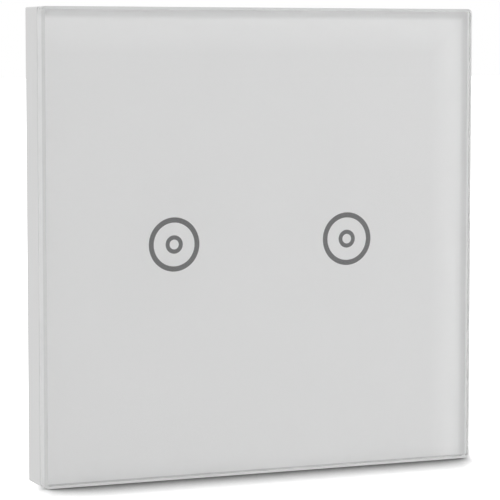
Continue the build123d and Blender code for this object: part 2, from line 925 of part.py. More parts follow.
# Relays, in a local frame: X runs from the yoke to the contacts and Z away from the board
pivot_x = -relay_length / 2 + relay_wall + yoke_back_gap + yoke_thickness / 2
core_x = pivot_x + core_offset
base_half_x = relay_length / 2 - relay_wall - relay_fit
base_half_y = relay_width / 2 - relay_wall - relay_fit
limb_top_z = relay_base_thickness + yoke_thickness
flange_top_z = yoke_height - pole_thickness
armature_low_z = yoke_height + armature_gap
armature_top_z = armature_low_z + armature_thickness
contact_x = relay_length / 2 - relay_wall - contact_inset
moving_contact_z = armature_top_z - contact_height
fixed_contact_top_z = moving_contact_z - contact_gap


def relay_place(side):
    """Where a relay's local frame sits on the power board."""
    seat = (relay_centres[side], power_board_front_y, relay_centre_z)
    return Plane(origin=seat, x_dir=(0, 0, 1), z_dir=(0, -1, 0)).location


def upright(radius, z_low, z_high, x, y=0):
    """A round bar along the relay's own Z."""
    return Pos(x, y, (z_low + z_high) / 2) * Cylinder(radius, z_high - z_low)


def relay_case():
    """The thin cover, open towards the board."""
    case = block(-relay_length / 2, relay_length / 2, -relay_width / 2, relay_width / 2, 0, relay_height)
    case = fillet(case.edges().filter_by(Axis.Z), part_edge_radius)
    inner_x = relay_length / 2 - relay_wall
    inner_y = relay_width / 2 - relay_wall
    return case - block(-inner_x, inner_x, -inner_y, inner_y, -overrun, relay_height - relay_wall)


def relay_pins():
    """The four pins: two for the coil, one for the yoke and one for the fixed contact."""
    places = [(core_x, -coil_pin_spread), (core_x, coil_pin_spread), (contact_x, 0), (pivot_x, 0)]
    reach = (-pin_tail_length, relay_base_thickness)
    return [upright(relay_pin_radius, *reach, x, y) for x, y in places]


def relay_base():
    """The moulded floor of the relay, with its pin holes."""
    base = block(-base_half_x, base_half_x, -base_half_y, base_half_y, 0, relay_base_thickness)
    return base - relay_pins()


def relay_yoke():
    """The iron yoke with the core riveted in it and the pole on the core's end."""
    back_low = pivot_x - yoke_thickness / 2
    back_high = pivot_x + yoke_thickness / 2
    half = yoke_width / 2
    back = block(back_low, back_high, -half, half, relay_base_thickness, yoke_height)
    limb = block(back_low, core_x + core_radius, -half, half, relay_base_thickness, limb_top_z)
    core = upright(core_radius, limb_top_z, flange_top_z, core_x)
    return back + limb + core + upright(pole_radius, flange_top_z, yoke_height, core_x)


def relay_bobbin():
    """The spool that the coil is wound on, closely round the core."""
    low_flange = upright(bobbin_flange_radius, limb_top_z, limb_top_z + bobbin_flange_thickness, core_x)
    high_flange = upright(bobbin_flange_radius, flange_top_z - bobbin_flange_thickness, flange_top_z, core_x)
    barrel = upright(core_radius + bobbin_wall, limb_top_z, flange_top_z, core_x)
    bobbin = low_flange + high_flange + barrel
    bobbin -= upright(core_radius, limb_top_z - overrun, flange_top_z + overrun, core_x)
    face_x = pivot_x + yoke_thickness / 2
    far = relay_length
    return bobbin - block(face_x - far, face_x, -far, far, -far, far)


def relay_coil():
    """The copper winding between the spool's flanges."""
    low_z = limb_top_z + bobbin_flange_thickness
    high_z = flange_top_z - bobbin_flange_thickness
    coil = upright(bobbin_flange_radius - coil_margin, low_z, high_z, core_x)
    coil -= upright(core_radius + bobbin_wall, low_z - overrun, high_z + overrun, core_x)
    face_x = pivot_x + yoke_thickness / 2 + coil_margin
    far = relay_length
    return coil - block(face_x - far, face_x, -far, far, -far, far)


def relay_contacts():
    """The fixed contact on its post, with all four pins."""
    arm_low_z = fixed_contact_top_z - contact_height - contact_post_thickness
    arm_high_z = arm_low_z + contact_post_thickness
    half = contact_post_width / 2
    post_high = base_half_x - relay_fit
    post_low = post_high - contact_post_thickness
    post = block(post_low, post_high, -half, half, relay_base_thickness, arm_high_z)
    arm = block(contact_x - contact_radius, post_high, -half, half, arm_low_z, arm_high_z)
    foot_high_z = relay_base_thickness + contact_post_thickness
    foot = block(contact_x - relay_pin_radius, post_high, -half, half, relay_base_thickness, foot_high_z)
    button = upright(contact_radius, arm_high_z, fixed_contact_top_z, contact_x)
    coil_pins = relay_pins()[:2]
    yoke_pin = relay_pins()[3]
    return group([post + arm + foot + button + relay_pins()[2], *coil_pins, yoke_pin])


def tilted(solid):
    """A piece of the armature swung open about the yoke's top edge."""
    pivot = Pos(pivot_x, 0, yoke_height)
    return pivot * Rot(0, -armature_swing_degrees, 0) * Pos(-pivot_x, 0, -yoke_height) * solid


def relay_armature():
    """The hinged iron plate over the pole, drawn open."""
    low_x = pivot_x - yoke_thickness / 2
    high_x = core_x + armature_overhang
    half = armature_width / 2
    return tilted(block(low_x, high_x, -half, half, armature_low_z, armature_top_z))


def relay_contact_spring():
    """The contact leaf on the armature, with the moving contact riveted in its end."""
    half = leaf_width / 2
    top_z = armature_top_z + leaf_thickness
    leaf = block(pivot_x, contact_x + contact_radius, -half, half, armature_top_z, top_z)
    button = upright(contact_radius, moving_contact_z, armature_top_z, contact_x)
    rivet = upright(contact_radius, top_z, top_z + rivet_height, contact_x)
    return tilted(leaf + button + rivet)


# Terminals
def terminal_block():
    """The moulding with four wire cells, open towards the screws and the wire entries."""
    body = block(-block_half_x, block_half_x, block_front_y, housing_inner_y, block_bottom_z, block_top_z)
    room_half = cage_width / 2 + cage_clearance
    for centre in terminal_xs:
        low_x = centre - room_half
        high_x = centre + room_half
        room_y = (cage_room_y, housing_inner_y + overrun)
        body -= block(low_x, high_x, *room_y, cage_room_bottom_z, cage_room_top_z)
        bar_half = bar_width / 2
        bar_slot = (centre - bar_half, centre + bar_half, bar_front_y, power_board_front_y)
        body -= block(*bar_slot, cage_room_top_z - overrun, block_top_z + overrun)
    body -= wire_windows(block_bottom_z - overrun, cage_room_bottom_z + overrun)
    return body


def contact_bars():
    """The four current bars, from inside the cages up onto the power board."""
    bars = []
    low_z = cage_room_bottom_z + bar_end_setback
    high_z = power_board_bottom_z + bar_tail_length
    for centre in terminal_xs:
        low_x = centre - bar_width / 2
        bars.append(block(low_x, low_x + bar_width, bar_front_y, power_board_front_y, low_z, high_z))
    return group(bars)


def terminal_cage(centre):
    """The clamp cage in its open place: a floor under the wire and a threaded roof."""
    low_x = centre - cage_width / 2
    high_x = centre + cage_width / 2
    low_z = cage_centre_z - cage_length / 2
    high_z = cage_centre_z + cage_length / 2
    cage = block(low_x, high_x, cage_floor_y, cage_back_y, low_z, high_z)
    cage = fillet(cage.edges().filter_by(Axis.Z), cage_wall / 2)
    window_low = low_x + cage_wall
    window_high = high_x - cage_wall
    cage -= block(window_low, window_high, cage_floor_top_y, cage_roof_y, low_z - overrun, high_z + overrun)
    hole = terminal_screw_radius + thread_clearance
    return cage - rod(hole, cage_roof_y - overrun, cage_back_y + overrun, centre, cage_centre_z)


def terminal_screw(centre):
    """The clamp screw, its tip just clear of the current bar."""
    tip_y = power_board_front_y + terminal_tip_gap
    head_top_y = terminal_head_y + terminal_head_height
    head = rod(terminal_head_radius, terminal_head_y, head_top_y, centre, cage_centre_z)
    head = fillet(head.edges().sort_by(Axis.Y)[-1], terminal_head_height / 4)
    screw = head + rod(terminal_screw_radius, tip_y, terminal_head_y, centre, cage_centre_z)
    half = driver_slot_width / 2
    far = terminal_head_radius + overrun
    slot_y = head_top_y - driver_slot_depth
    cut_y = (slot_y, head_top_y + overrun)
    return screw - block(centre - far, centre + far, *cut_y, cage_centre_z - half, cage_centre_z + half)


def all_pieces():
    """Every node by name."""
    pieces = {
        "glass_panel": glass_panel(),
        "panel_print": panel_print(),
        "bonding_tape": bonding_tape(),
        "panel_frame": panel_frame(),
        "mounting_frame": mounting_frame(),
        "rear_housing": rear_housing(),
        "housing_screws": housing_screws(),
        "touch_board": touch_board(),
        "board_screws": board_screws(),
        "touch_controller": touch_controller(),
        "board_header": board_header(),
        "board_socket": board_socket(),
        "power_board": power_board(),
        "supply_capacitor": supply_capacitor(),
        "filter_capacitor": filter_capacitor(),
        "film_capacitor": film_capacitor(),
        "surge_varistor": surge_varistor(),
        "fuse": fuse(),
        "transformer_core": transformer_core(),
        "transformer_winding": transformer_winding(),
        "bridge_rectifier": bridge_rectifier(),
        "supply_controller": supply_controller(),
        "relay_drivers": relay_drivers(),
        "terminal_block": terminal_block(),
        "contact_bars": contact_bars(),
    }
    relay_makers = (
        relay_case,
        relay_base,
        relay_bobbin,
        relay_coil,
        relay_yoke,
        relay_contacts,
        relay_armature,
        relay_contact_spring,
    )
    for side in ("left", "right"):
        pieces[f"symbol_ring_{side}"] = touch_mark(side)
        pieces[f"light_guide_{side}"] = light_guide(side)
        pieces[f"touch_spring_{side}"] = touch_spring(side)
        pieces[f"status_led_{side}"] = status_led(side)
        for maker in relay_makers:
            pieces[f"{maker.__name__}_{side}"] = relay_place(side) * maker()
    for number, centre in enumerate(terminal_xs, start=1):
        pieces[f"terminal_cage_{number}"] = terminal_cage(centre)
        pieces[f"terminal_screw_{number}"] = terminal_screw(centre)
    return pieces


os.makedirs("parts", exist_ok=True)
for name, piece in all_pieces().items():
    export_step(piece, f"parts/{name}.step")
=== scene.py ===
"""Looks of a square two-gang touch light switch with a glass front."""

import logging
from dataclasses import dataclass, field
from enum import Enum
from typing import Optional, Sequence

import bpy
import numpy as np
from mathutils import Matrix, Vector


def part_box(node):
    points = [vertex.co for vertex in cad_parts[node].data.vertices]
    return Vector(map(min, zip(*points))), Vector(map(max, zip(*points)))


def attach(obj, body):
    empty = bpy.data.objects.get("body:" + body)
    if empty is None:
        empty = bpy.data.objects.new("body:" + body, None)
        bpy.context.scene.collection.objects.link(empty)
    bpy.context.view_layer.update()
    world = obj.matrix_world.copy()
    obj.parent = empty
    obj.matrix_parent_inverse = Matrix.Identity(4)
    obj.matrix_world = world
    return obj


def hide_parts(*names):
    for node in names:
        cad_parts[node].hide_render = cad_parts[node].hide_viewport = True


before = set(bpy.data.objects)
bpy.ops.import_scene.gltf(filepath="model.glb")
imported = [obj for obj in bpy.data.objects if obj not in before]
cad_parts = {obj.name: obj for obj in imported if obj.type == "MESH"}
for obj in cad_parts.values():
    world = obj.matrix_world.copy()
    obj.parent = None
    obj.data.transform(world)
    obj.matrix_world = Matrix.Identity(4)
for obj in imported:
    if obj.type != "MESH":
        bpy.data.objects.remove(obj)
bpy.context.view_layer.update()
MM = 0.001
EVEN = (1, 1, 1)
FACE_ON = (1, 0, 1)  # the same pattern at every depth
COLOUR_AT_0, COLOUR_AT_1, MIXED_COLOUR = 6, 7, 2  # a Mix node's colour sockets
NOISE_ROUGHNESS = 0.55
FINE_DETAIL = 4
SOFT_DETAIL = 1
GLASS_IOR = 1.5
WAVE_SCALE = 0.314  # a Wave node's Scale for bands a metre apart
LOG = logging.getLogger("touch_switch")


class Side(Enum):
    """Which of the two gangs a piece belongs to."""

    LEFT = "left"
    RIGHT = "right"


class Grain(Enum):
    """How the fine relief of a surface runs."""

    SPARK = "spark eroded, the same in all directions"
    CELLS = "small closed cells"


# Building blocks of the materials
class Tree:
    """A material's node tree, written one node at a time."""

    def __init__(self, name: str) -> None:
        """Start an empty material.

        Args:
            name: The material's name.
        """
        self.material = bpy.data.materials.new(name)
        self.material.use_nodes = True
        self.nodes = self.material.node_tree.nodes
        self.links = self.material.node_tree.links
        self.nodes.clear()
        self.output = self.nodes.new("ShaderNodeOutputMaterial")
        self.coordinates: Optional[bpy.types.Node] = None

    def add(self, kind: str, inputs: Optional[dict] = None, **settings: object) -> bpy.types.Node:
        """Add a node, with its settings and its inputs.

        Args:
            kind: The node's type, without the ShaderNode in front.
            inputs: What each input holds, a value or another node's output.
            settings: The node's own properties.

        Returns:
            The new node.
        """
        node = self.nodes.new("ShaderNode" + kind)
        for key, value in settings.items():
            setattr(node, key, value)
        for key, value in (inputs or {}).items():
            if isinstance(value, bpy.types.NodeSocket):
                self.links.new(value, node.inputs[key])
            else:
                node.inputs[key].default_value = value
        return node

    def place(self, stretch: Sequence[float] = EVEN) -> bpy.types.NodeSocket:
        """Object coordinates, stretched along the axes.

        Args:
            stretch: The factor along X, Y and Z.

        Returns:
            The mapped coordinates.
        """
        if self.coordinates is None:
            self.coordinates = self.add("TexCoord")
        mapping = self.add("Mapping", {"Vector": self.coordinates.outputs["Object"]})
        mapping.inputs["Scale"].default_value = stretch
        return mapping.outputs["Vector"]

    def noise(self, size: float, detail: float = 3.0,
              stretch: Sequence[float] = EVEN) -> bpy.types.NodeSocket:
        """Cloudy noise from 0 to 1.

        Args:
            size: The size of one cloud, in metres.
            detail: How many finer layers it has.
            stretch: The factor along X, Y and Z.

        Returns:
            The noise's value.
        """
        inputs = {"Vector": self.place(stretch), "Scale": 1 / size, "Detail": detail,
                  "Roughness": NOISE_ROUGHNESS}
        return self.add("TexNoise", inputs).outputs["Fac"]

    def cells(self, size: float) -> bpy.types.NodeSocket:
        """The distance to the nearest cell's middle.

        Args:
            size: The size of one cell, in metres.

        Returns:
            The distance, from 0 to about 1.
        """
        inputs = {"Vector": self.place(), "Scale": 1 / size}
        return self.add("TexVoronoi", inputs).outputs["Distance"]

    def span(self, value: bpy.types.NodeSocket, low: float, high: float,
             start: float = 0.0, end: float = 1.0) -> bpy.types.NodeSocket:
        """A value taken from one range to another, and kept inside it.

        Args:
            value: The value to take.
            low: What the start of its range becomes.
            high: What the end of its range becomes.
            start: The start of its range.
            end: The end of its range.

        Returns:
            The new value.
        """
        inputs = {"Value": value, "From Min": start, "From Max": end,
                  "To Min": low, "To Max": high}
        return self.add("MapRange", inputs).outputs["Result"]

    def blend(self, share: bpy.types.NodeSocket, first: object,
              second: object) -> bpy.types.NodeSocket:
        """A colour between two others.

        Args:
            share: How much of the second there is.
            first: The colour at 0, its channels or another node's output.
            second: The colour at 1, in the same way.

        Returns:
            The mixed colour.
        """
        colours = {key: value if isinstance(value, bpy.types.NodeSocket) else (*value, 1)
                   for key, value in ((COLOUR_AT_0, first), (COLOUR_AT_1, second))}
        return self.add("Mix", {0: share, **colours}, data_type="RGBA").outputs[MIXED_COLOUR]

    def math(self, operation: str, *values: object) -> bpy.types.NodeSocket:
        """A sum on plain values.

        Args:
            operation: What is done with them.
            values: Numbers or other nodes' outputs.

        Returns:
            What comes out.
        """
        return self.add("Math", dict(enumerate(values)), operation=operation).outputs[0]

    def axes(self, vector: Optional[bpy.types.NodeSocket] = None
             ) -> dict[str, bpy.types.NodeSocket]:
        """A vector's parts along each axis.

        Args:
            vector: The vector. Without one it is the place on the surface, in metres.

        Returns:
            The parts X, Y and Z.
        """
        split = self.add("SeparateXYZ", {"Vector": self.place() if vector is None else vector})
        return {axis: split.outputs[axis] for axis in "XYZ"}

    def relief(self, height: bpy.types.NodeSocket, depth: float,
               under: Optional[bpy.types.NodeSocket] = None) -> bpy.types.NodeSocket:
        """A surface direction from a height.

        Args:
            height: The height, from 0 to 1.
            depth: What a height of 1 stands for, in metres.
            under: A coarser relief that this one lies on.

        Returns:
            The changed surface direction.
        """
        bump = self.add("Bump", {"Height": height, "Distance": depth, "Strength": 1.0})
        if under is not None:
            self.links.new(under, bump.inputs["Normal"])
        return bump.outputs["Normal"]

    def finish(self, **inputs: object) -> bpy.types.Material:
        """Close the tree with a surface shader.

        Args:
            inputs: The shader's inputs, with _ for a blank in their names.

        Returns:
            The finished material.
        """
        named = {key.replace("_", " "): value for key, value in inputs.items()}
        shader = self.add("BsdfPrincipled", named)
        self.links.new(shader.outputs[0], self.output.inputs["Surface"])
        return self.material


def shade(colour: Sequence[float], factor: float) -> tuple[float, float, float]:
    """A colour made lighter or darker.

    Args:
        colour: The colour.
        factor: What each channel is multiplied by.

    Returns:
        The new colour, never past white.
    """
    return tuple(min(1.0, channel * factor) for channel in colour)


# Finishes
@dataclass(frozen=True)
class Moulded:
    """Moulded plastic: fine relief, with a slow drift of tone and gloss."""

    name: str
    colour: tuple[float, float, float]
    roughness: float = 0.45
    grain: Grain = Grain.SPARK
    grain_size: float = 0.25 * MM
    grain_depth: float = 0.006 * MM
    drift: float = 0.03
    clear: float = 0.0
    drift_size: float = 9 * MM
    lift_divisor: float = 3
    gloss_gain: float = 0.04
    gloss_loss: float = 0.05

    def material(self) -> bpy.types.Material:
        """Make the material. Its lighter tone departs from the colour less than its darker one.

        Returns:
            The finished material.
        """
        tree = Tree(self.name)
        drift = tree.noise(self.drift_size)
        cells = self.grain is Grain.CELLS
        fine = tree.cells(self.grain_size) if cells else tree.noise(self.grain_size, FINE_DETAIL)
        tone = tree.blend(drift, shade(self.colour, 1 - self.drift),
                          shade(self.colour, 1 + self.drift / self.lift_divisor))
        rough = tree.span(drift, self.roughness - self.gloss_gain, self.roughness + self.gloss_loss)
        return tree.finish(Base_Color=tone, Roughness=rough, Transmission_Weight=self.clear,
                           Normal=tree.relief(fine, self.grain_depth))


@dataclass(frozen=True)
class Metal:
    """Metal: brushed or plated, with fine scratches and dull patches."""

    name: str
    colour: tuple[float, float, float]
    roughness: float = 0.3
    stretch: tuple[float, float, float] = (1, 12, 1)
    scratch: float = 0.5 * MM
    scratch_depth: float = 0.004 * MM
    patch: float = 2.2 * MM
    dull: float = 0.84
    bright: float = 1.04
    gloss_loss: float = 0.12
    gloss_gain: float = 0.06

    def material(self) -> bpy.types.Material:
        """Make the material, with scratches drawn out along one axis.

        Returns:
            The finished material.
        """
        tree = Tree(self.name)
        fine = tree.noise(self.scratch, FINE_DETAIL, self.stretch)
        patch = tree.noise(self.patch)
        tone = tree.blend(patch, shade(self.colour, self.dull), shade(self.colour, self.bright))
        rough = tree.span(patch, self.roughness + self.gloss_loss, self.roughness - self.gloss_gain)
        return tree.finish(Base_Color=tone, Roughness=rough, Metallic=1.0,
                           Normal=tree.relief(fine, self.scratch_depth))


@dataclass(frozen=True)
class ClearGlass:
    """Float glass, with the very slight waviness that tempering leaves."""

    name: str
    tint: tuple[float, float, float]
    wave: float = 14 * MM
    wave_depth: float = 0.0006 * MM
    cloud: float = 30 * MM
    lift: float = 1.003

    def material(self) -> bpy.types.Material:
        """Make the material.

        Returns:
            The finished material.
        """
        tree = Tree(self.name)
        wave = tree.noise(self.wave, SOFT_DETAIL)
        cloud = tree.noise(self.cloud, SOFT_DETAIL)
        tone = tree.blend(cloud, self.tint, shade(self.tint, self.lift))
        return tree.finish(Base_Color=tone, Roughness=0.0, IOR=GLASS_IOR, Transmission_Weight=1.0,
                           Normal=tree.relief(wave, self.wave_depth))


@dataclass(frozen=True)
class GroundEdge:
    """Ground glass, which scatters part of the light and lets part through."""

    name: str
    colour: tuple[float, float, float]
    through: float
    # painted shade: the arris is darker along the top
    painted_top_shade: float = 1.0
    painted_top_shade_from: float = 42.3 * MM
    painted_top_shade_blur: float = 0.3 * MM
    roughness: float = 0.42
    speckle: float = 0.4 * MM
    speckle_shade: float = 0.95
    grain: float = 0.5 * MM
    grain_depth: float = 0.0002 * MM

    def material(self) -> bpy.types.Material:
        """Make the material.

        Returns:
            The finished material.
        """
        tree = Tree(self.name)
        speckle = tree.noise(self.speckle)
        tone = tree.blend(speckle, shade(self.colour, self.speckle_shade), self.colour)
        # painted shade along the top of the arris
        painted_top_shade_level = tree.span(tree.axes()["Z"], 1, self.painted_top_shade, self.painted_top_shade_from,
                        self.painted_top_shade_from + self.painted_top_shade_blur)
        painted_shade_tone = tree.add("VectorMath", {0: tone, "Scale": painted_top_shade_level}, operation="SCALE")
        return tree.finish(Base_Color=painted_shade_tone.outputs[0], Roughness=self.roughness, IOR=GLASS_IOR,
                           Transmission_Weight=self.through,
                           Normal=tree.relief(tree.noise(self.grain), self.grain_depth))


@dataclass(frozen=True)
class Enamel:
    """White enamel behind the glass.

    Painted shade greys it along the right and upper edges, and painted light makes it lighter
    just inside them. Painted shade makes it darkest along the lower edge.
    """

    name: str
    colour: tuple[float, float, float]
    half: float = 43.0 * MM
    # painted shade along the right and upper edges
    painted_edge_shade: float = 0.965
    painted_edge_shade_until: float = 1.1 * MM
    painted_shade_end: float = 1.8 * MM
    painted_shade_top_extra: float = 0.4 * MM
    # painted light just inside the right and upper edges
    light: float = 1.083
    painted_light_until: float = 8.0 * MM
    # painted shade along the lower edge
    painted_foot_shade: float = 0.76
    painted_foot_shade_until: float = 0.5 * MM
    painted_foot_shade_blur: float = 0.1 * MM
    grain: float = 0.25 * MM
    grain_depth: float = 0.001 * MM
    drift_size: float = 9 * MM
    roughness: tuple[float, float] = (0.46, 0.55)

    def material(self) -> bpy.types.Material:
        """Make the material.

        Returns:
            The finished material.
        """
        tree = Tree(self.name)
        axes = tree.axes()
        # painted shade along the right and upper edges, wider at the top, and painted light just
        # inside them
        reach = tree.math("MAXIMUM", axes["X"], tree.math("ADD", axes["Z"], self.painted_shade_top_extra))
        edge = tree.math("SUBTRACT", self.half, reach)
        painted_shade_share = tree.span(edge, 0, 1, self.painted_edge_shade_until, self.painted_shade_end)
        painted_light_share = tree.span(edge, 1, 0, self.painted_shade_end, self.painted_light_until)
        painted_light_tone = tree.blend(painted_light_share, self.colour, shade(self.colour, self.light))
        painted_edge_shade = tree.blend(painted_shade_share, shade(self.colour, self.painted_edge_shade), painted_light_tone)
        # painted shade, darkest along the lower edge
        rise = tree.math("ADD", axes["Z"], self.half)
        painted_foot_shade = tree.span(rise, self.painted_foot_shade, 1, self.painted_foot_shade_until, self.painted_foot_shade_until + self.painted_foot_shade_blur)
        painted_shade_tone = tree.add("VectorMath", {0: painted_edge_shade, "Scale": painted_foot_shade}, operation="SCALE")
        cloud = tree.relief(tree.noise(self.grain, FINE_DETAIL), self.grain_depth)
        rough = tree.span(tree.noise(self.drift_size), *self.roughness)
        return tree.finish(Base_Color=painted_shade_tone.outputs[0], Roughness=rough, Normal=cloud)


@dataclass(frozen=True)
class Can:
    """A printed sleeve on a can, whose bare metal end has a cross pressed in it."""

    name: str
    sleeve: tuple[float, float, float]
    metal: tuple[float, float, float]
    middle: tuple[float, float]
    end: float
    bare_until: tuple[float, float] = (0.01 * MM, 0.04 * MM)
    cut: float = 0.18 * MM
    cut_depth: float = 0.15 * MM
    patch: float = 1.5 * MM
    roughness: tuple[float, float] = (0.25, 0.38)

    def material(self) -> bpy.types.Material:
        """Make the material.

        Returns:
            The finished material.
        """
        tree = Tree(self.name)
        axes = tree.axes()
        bare = tree.span(axes["Y"], 1, 0, *(self.end + depth for depth in self.bare_until))
        arms = []
        for axis, centre in zip("XZ", self.middle):
            away = tree.math("ABSOLUTE", tree.math("SUBTRACT", axes[axis], centre))
            arms.append(tree.span(away, 0, 1, self.cut / 2, self.cut))
        tone = tree.blend(bare, self.sleeve, self.metal)
        rough = tree.span(tree.noise(self.patch), *self.roughness)
        return tree.finish(Base_Color=tone, Metallic=bare, Roughness=rough,
                           Normal=tree.relief(tree.math("MINIMUM", *arms), self.cut_depth))


@dataclass(frozen=True)
class Threaded:
    """Plated steel with a screw thread on its shank."""

    name: str
    colour: tuple[float, float, float]
    pitch: float = 0.6 * MM
    thread_depth: float = 0.2 * MM
    shank_end: float = 25.9 * MM
    runout: float = 0.05 * MM
    grain: float = 0.3 * MM
    grain_depth: float = 0.003 * MM
    patch: float = 1.8 * MM
    dull: float = 0.84
    bright: float = 1.04
    roughness: tuple[float, float] = (0.36, 0.2)

    def material(self) -> bpy.types.Material:
        """Make the material.

        Returns:
            The finished material.
        """
        tree = Tree(self.name)
        place = {"Vector": tree.place(), "Scale": WAVE_SCALE / self.pitch}
        turns = tree.add("TexWave", place, bands_direction="Y", wave_profile="TRI")
        shank = tree.span(tree.axes()["Y"], 1, 0, self.shank_end, self.shank_end + self.runout)
        height = tree.math("MULTIPLY", turns.outputs["Fac"], shank)
        fine = tree.relief(tree.noise(self.grain), self.grain_depth)
        patch = tree.noise(self.patch)
        tone = tree.blend(patch, shade(self.colour, self.dull), shade(self.colour, self.bright))
        return tree.finish(Base_Color=tone, Metallic=1.0,
                           Roughness=tree.span(patch, *self.roughness),
                           Normal=tree.relief(height, self.thread_depth, fine))


@dataclass(frozen=True)
class Circuit:
    """Solder mask over fibreglass, with copper tracks under it and tinned holes in it.

    The board falls into patches, each with tracks along one axis. A track may be left out, and a
    patch may have copper all over.
    """

    name: str
    mask: tuple[float, float, float]
    track: tuple[float, float, float]
    patch: float = 5.2 * MM
    pitch: float = 0.9 * MM
    disorder: float = 0.5
    row_middle: float = 0.5
    track_edge: tuple[float, float] = (0.2, 0.27)
    left_out_share: float = 0.35
    covered_share: float = 0.2
    level_share: float = 0.5
    seed_spread: float = 97.0
    track_height: float = 0.03 * MM
    hole_pitch: float = 1.8 * MM
    hole_edge: tuple[float, float] = (0.16, 0.19)
    hole_share: float = 0.3
    tin: tuple[float, float, float] = (0.72, 0.71, 0.68)
    weave_scale: float = 320.0
    weave_bend: float = 1.5
    weave_depth: float = 0.002 * MM
    roughness: float = 0.28

    def scatter(self, tree: Tree, size: float, metric: str) -> tuple[
            bpy.types.NodeSocket, dict[str, bpy.types.NodeSocket]]:
        """Divide the board into cells.

        Args:
            tree: The material's tree.
            size: The size of one cell, in metres.
            metric: How the distance to a cell's middle is measured.

        Returns:
            That distance, and three random numbers for each cell.
        """
        inputs = {"Vector": tree.place(FACE_ON), "Scale": 1 / size, "Randomness": self.disorder}
        cell = tree.add("TexVoronoi", inputs, distance=metric).outputs
        return cell["Distance"], tree.axes(cell["Color"])

    def tracks(self, tree: Tree) -> bpy.types.NodeSocket:
        """Find where the tracks run.

        Args:
            tree: The material's tree.

        Returns:
            1 on a track and 0 beside it.
        """
        _, chance = self.scatter(tree, self.patch, "CHEBYCHEV")
        axes = tree.axes()
        lines = []
        for axis in "XZ":
            row = tree.math("MULTIPLY", axes[axis], 1 / self.pitch)
            offset = tree.math("SUBTRACT", tree.math("FRACT", row), self.row_middle)
            line = tree.span(tree.math("ABSOLUTE", offset), 1, 0, *self.track_edge)
            seed = tree.math("MULTIPLY_ADD", chance["Z"], self.seed_spread,
                             tree.math("FLOOR", row))
            toss = tree.add("TexWhiteNoise", {"W": seed}, noise_dimensions="1D").outputs["Value"]
            kept = tree.math("GREATER_THAN", toss, self.left_out_share)
            lines.append(tree.math("MULTIPLY", line, kept))
        upright = tree.math("GREATER_THAN", chance["X"], self.level_share)
        level = tree.math("MULTIPLY", lines[1], tree.math("SUBTRACT", 1.0, upright))
        either = tree.math("MULTIPLY_ADD", lines[0], upright, level)
        return tree.math("MAXIMUM", either, tree.math("LESS_THAN", chance["Y"], self.covered_share))

    def material(self) -> bpy.types.Material:
        """Make the material.

        Returns:
            The finished material.
        """
        tree = Tree(self.name)
        line = self.tracks(tree)
        away, chance = self.scatter(tree, self.hole_pitch, "EUCLIDEAN")
        hole = tree.math("MULTIPLY", tree.span(away, 1, 0, *self.hole_edge),
                         tree.math("LESS_THAN", chance["X"], self.hole_share))
        threads = {"Vector": tree.place(), "Scale": self.weave_scale, "Distortion": self.weave_bend}
        low = tree.relief(tree.add("TexWave", threads).outputs["Fac"], self.weave_depth)
        tone = tree.blend(hole, tree.blend(line, self.mask, self.track), self.tin)
        return tree.finish(Base_Color=tone, Metallic=hole, Roughness=self.roughness,
                           Normal=tree.relief(line, self.track_height, low))


@dataclass(frozen=True)
class Wound:
    """Wire or tape laid in turns, with painted shade in a dark line between neighbours."""

    name: str
    colour: tuple[float, float, float]
    metallic: float = 1.0
    turn: float = 0.25 * MM
    wander: float = 0.25
    # painted shade in the crease between neighbouring turns
    painted_gap_shade: float = 0.4
    depth_share: float = 0.2
    patch: float = 1.5 * MM
    roughness: tuple[float, float] = (0.28, 0.42)

    def material(self) -> bpy.types.Material:
        """Make the material, with its turns one after the other along Y.

        Returns:
            The finished material.
        """
        tree = Tree(self.name)
        inputs = {"Vector": tree.place(), "Scale": WAVE_SCALE / self.turn,
                  "Distortion": self.wander}
        band = tree.add("TexWave", inputs, bands_direction="Y").outputs["Fac"]
        # painted shade: a dark line between neighbouring turns
        tone = tree.blend(band, shade(self.colour, self.painted_gap_shade), self.colour)
        rough = tree.span(tree.noise(self.patch), *self.roughness)
        return tree.finish(Base_Color=tone, Metallic=self.metallic, Roughness=rough,
                           Normal=tree.relief(band, self.turn * self.depth_share))


# Surfaces
def rounded_square(half: float, radius: float, steps: int) -> tuple[np.ndarray, np.ndarray]:
    """A square path with rounded corners, and its outward directions.

    The corner's angle runs a quarter turn at each of four centres, so a point is
    centre + radius * direction.

    Args:
        half: Half the square's side.
        radius: The corner's radius.
        steps: How many parts a corner has.

    Returns:
        The corner centres and the directions, one row for each point.
    """
    angle = np.linspace(0, np.pi / 2, steps + 1)
    turn = (np.arange(4)[:, None] * np.pi / 2 + angle).ravel()
    direction = np.stack([np.cos(turn), np.sin(turn)], 1)
    sign = np.array([[1, 1], [-1, 1], [-1, -1], [1, -1]], float)
    centre = np.repeat(sign * (half - radius), steps + 1, 0)
    return centre, direction


def skin(name: str, rings: np.ndarray) -> bpy.types.Object:
    """A closed mesh from rings of points, each joined to the next, with both ends filled.

    Point (i, j) is the j-th point of ring i. Each face joins (i, j), (i, j+1), (i+1, j+1) and
    (i+1, j).

    Args:
        name: The object's name.
        rings: An array of ring by point by X, Y and Z.

    Returns:
        The new object.
    """
    count, around = rings.shape[:2]
    index = np.arange(count * around).reshape(count, around)
    after = np.roll(index, -1, 1)
    quads = np.stack([index[:-1], after[:-1], after[1:], index[1:]], -1).reshape(-1, 4)
    faces = quads.tolist() + [index[0, ::-1].tolist(), index[-1].tolist()]
    mesh = bpy.data.meshes.new(name)
    mesh.from_pydata(rings.reshape(-1, 3).tolist(), [], faces)
    mesh.validate()
    obj = bpy.data.objects.new(name, mesh)
    bpy.context.scene.collection.objects.link(obj)
    return obj


